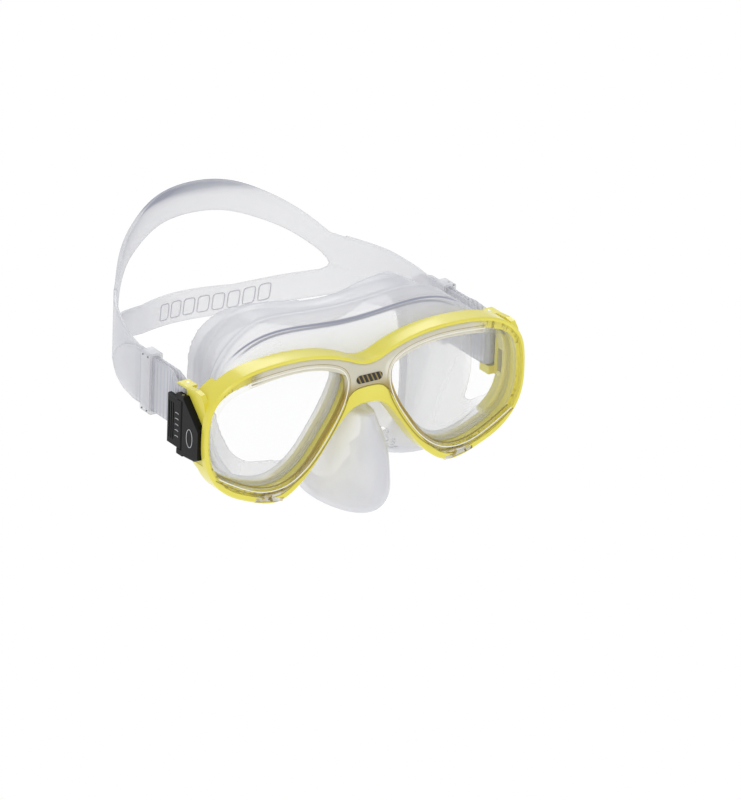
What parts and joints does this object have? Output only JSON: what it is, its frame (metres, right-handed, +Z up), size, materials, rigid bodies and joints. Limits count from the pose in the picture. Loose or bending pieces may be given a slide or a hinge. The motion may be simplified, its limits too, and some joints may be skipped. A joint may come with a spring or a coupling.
{
  "type": "snorkel mask",
  "caption": "Twin-lens dive mask with a soft nose-pocket skirt, a split strap, and side buckles whose levers clamp the strap's tails.",
  "frame": {"origin": "centre of the face seal at eye height, on the mask's middle plane", "axes": "+Z up, -Y the way the wearer looks, +X the wearer's left"},
  "size_m": [0.1648, 0.1593, 0.0984],
  "materials": {
    "frame_yellow": "semi-gloss lemon yellow",
    "retainer_clear": "clear polycarbonate",
    "lens_glass": "tempered clear glass",
    "silicone_clear": "clear silicone, soft sheen",
    "buckle_black": "satin black",
    "roller_black": "satin black",
    "keeper_clear": "clear silicone",
    "badge_dark": "plain dark pad",
    "steel": "stainless pin"
  },
  "bodies": {
    "mask_body": {"main_frame": "frame_yellow", "lens_retainer": "retainer_clear", "lens_left": "lens_glass", "lens_right": "lens_glass", "skirt": "silicone_clear", "strap": "silicone_clear", "buckle_base_left": "buckle_black", "buckle_base_right": "buckle_black", "lever_pin_left": "steel", "lever_pin_right": "steel", "roller_pin_left": "steel", "roller_pin_right": "steel", "retainer_clip_left": "retainer_clear", "retainer_clip_right": "retainer_clear", "bridge_badge": "badge_dark"},
    "lever_left": {"buckle_lever_left": "buckle_black"},
    "lever_right": {"buckle_lever_right": "buckle_black"},
    "roller_left": {"strap_roller_left": "roller_black"},
    "roller_right": {"strap_roller_right": "roller_black"},
    "keeper_left": {"strap_keeper_left": "keeper_clear"},
    "keeper_right": {"strap_keeper_right": "keeper_clear"}
  },
  "joints": [
    {"name": "lever_left_hinge", "type": "hinge", "parent": "mask_body", "child": "lever_left", "pos_m": [0.08115, -0.0244, 0.0008], "axis": [0, 0, -1], "range_deg": [0, 35], "stiffness_Nm_per_rad": 0.01, "springref_deg": -5.73},
    {"name": "roller_left_spin", "type": "hinge", "parent": "mask_body", "child": "roller_left", "pos_m": [0.0762, -0.02, 0.00475], "axis": [0, 0, 1], "continuous": true},
    {"name": "keeper_left_slide", "type": "slide", "parent": "mask_body", "child": "keeper_left", "axis": [0, 1, 0], "range_m": [-0.008, 0.008]},
    {"name": "lever_right_hinge", "type": "hinge", "parent": "mask_body", "child": "lever_right", "pos_m": [-0.08115, -0.0244, 0.0008], "axis": [0, 0, 1], "range_deg": [0, 35], "stiffness_Nm_per_rad": 0.01, "springref_deg": -5.73},
    {"name": "roller_right_spin", "type": "hinge", "parent": "mask_body", "child": "roller_right", "pos_m": [-0.0762, -0.02, 0.00475], "axis": [0, 0, 1], "continuous": true},
    {"name": "keeper_right_slide", "type": "slide", "parent": "mask_body", "child": "keeper_right", "axis": [0, 1, 0], "range_m": [-0.008, 0.008]}
  ]
}
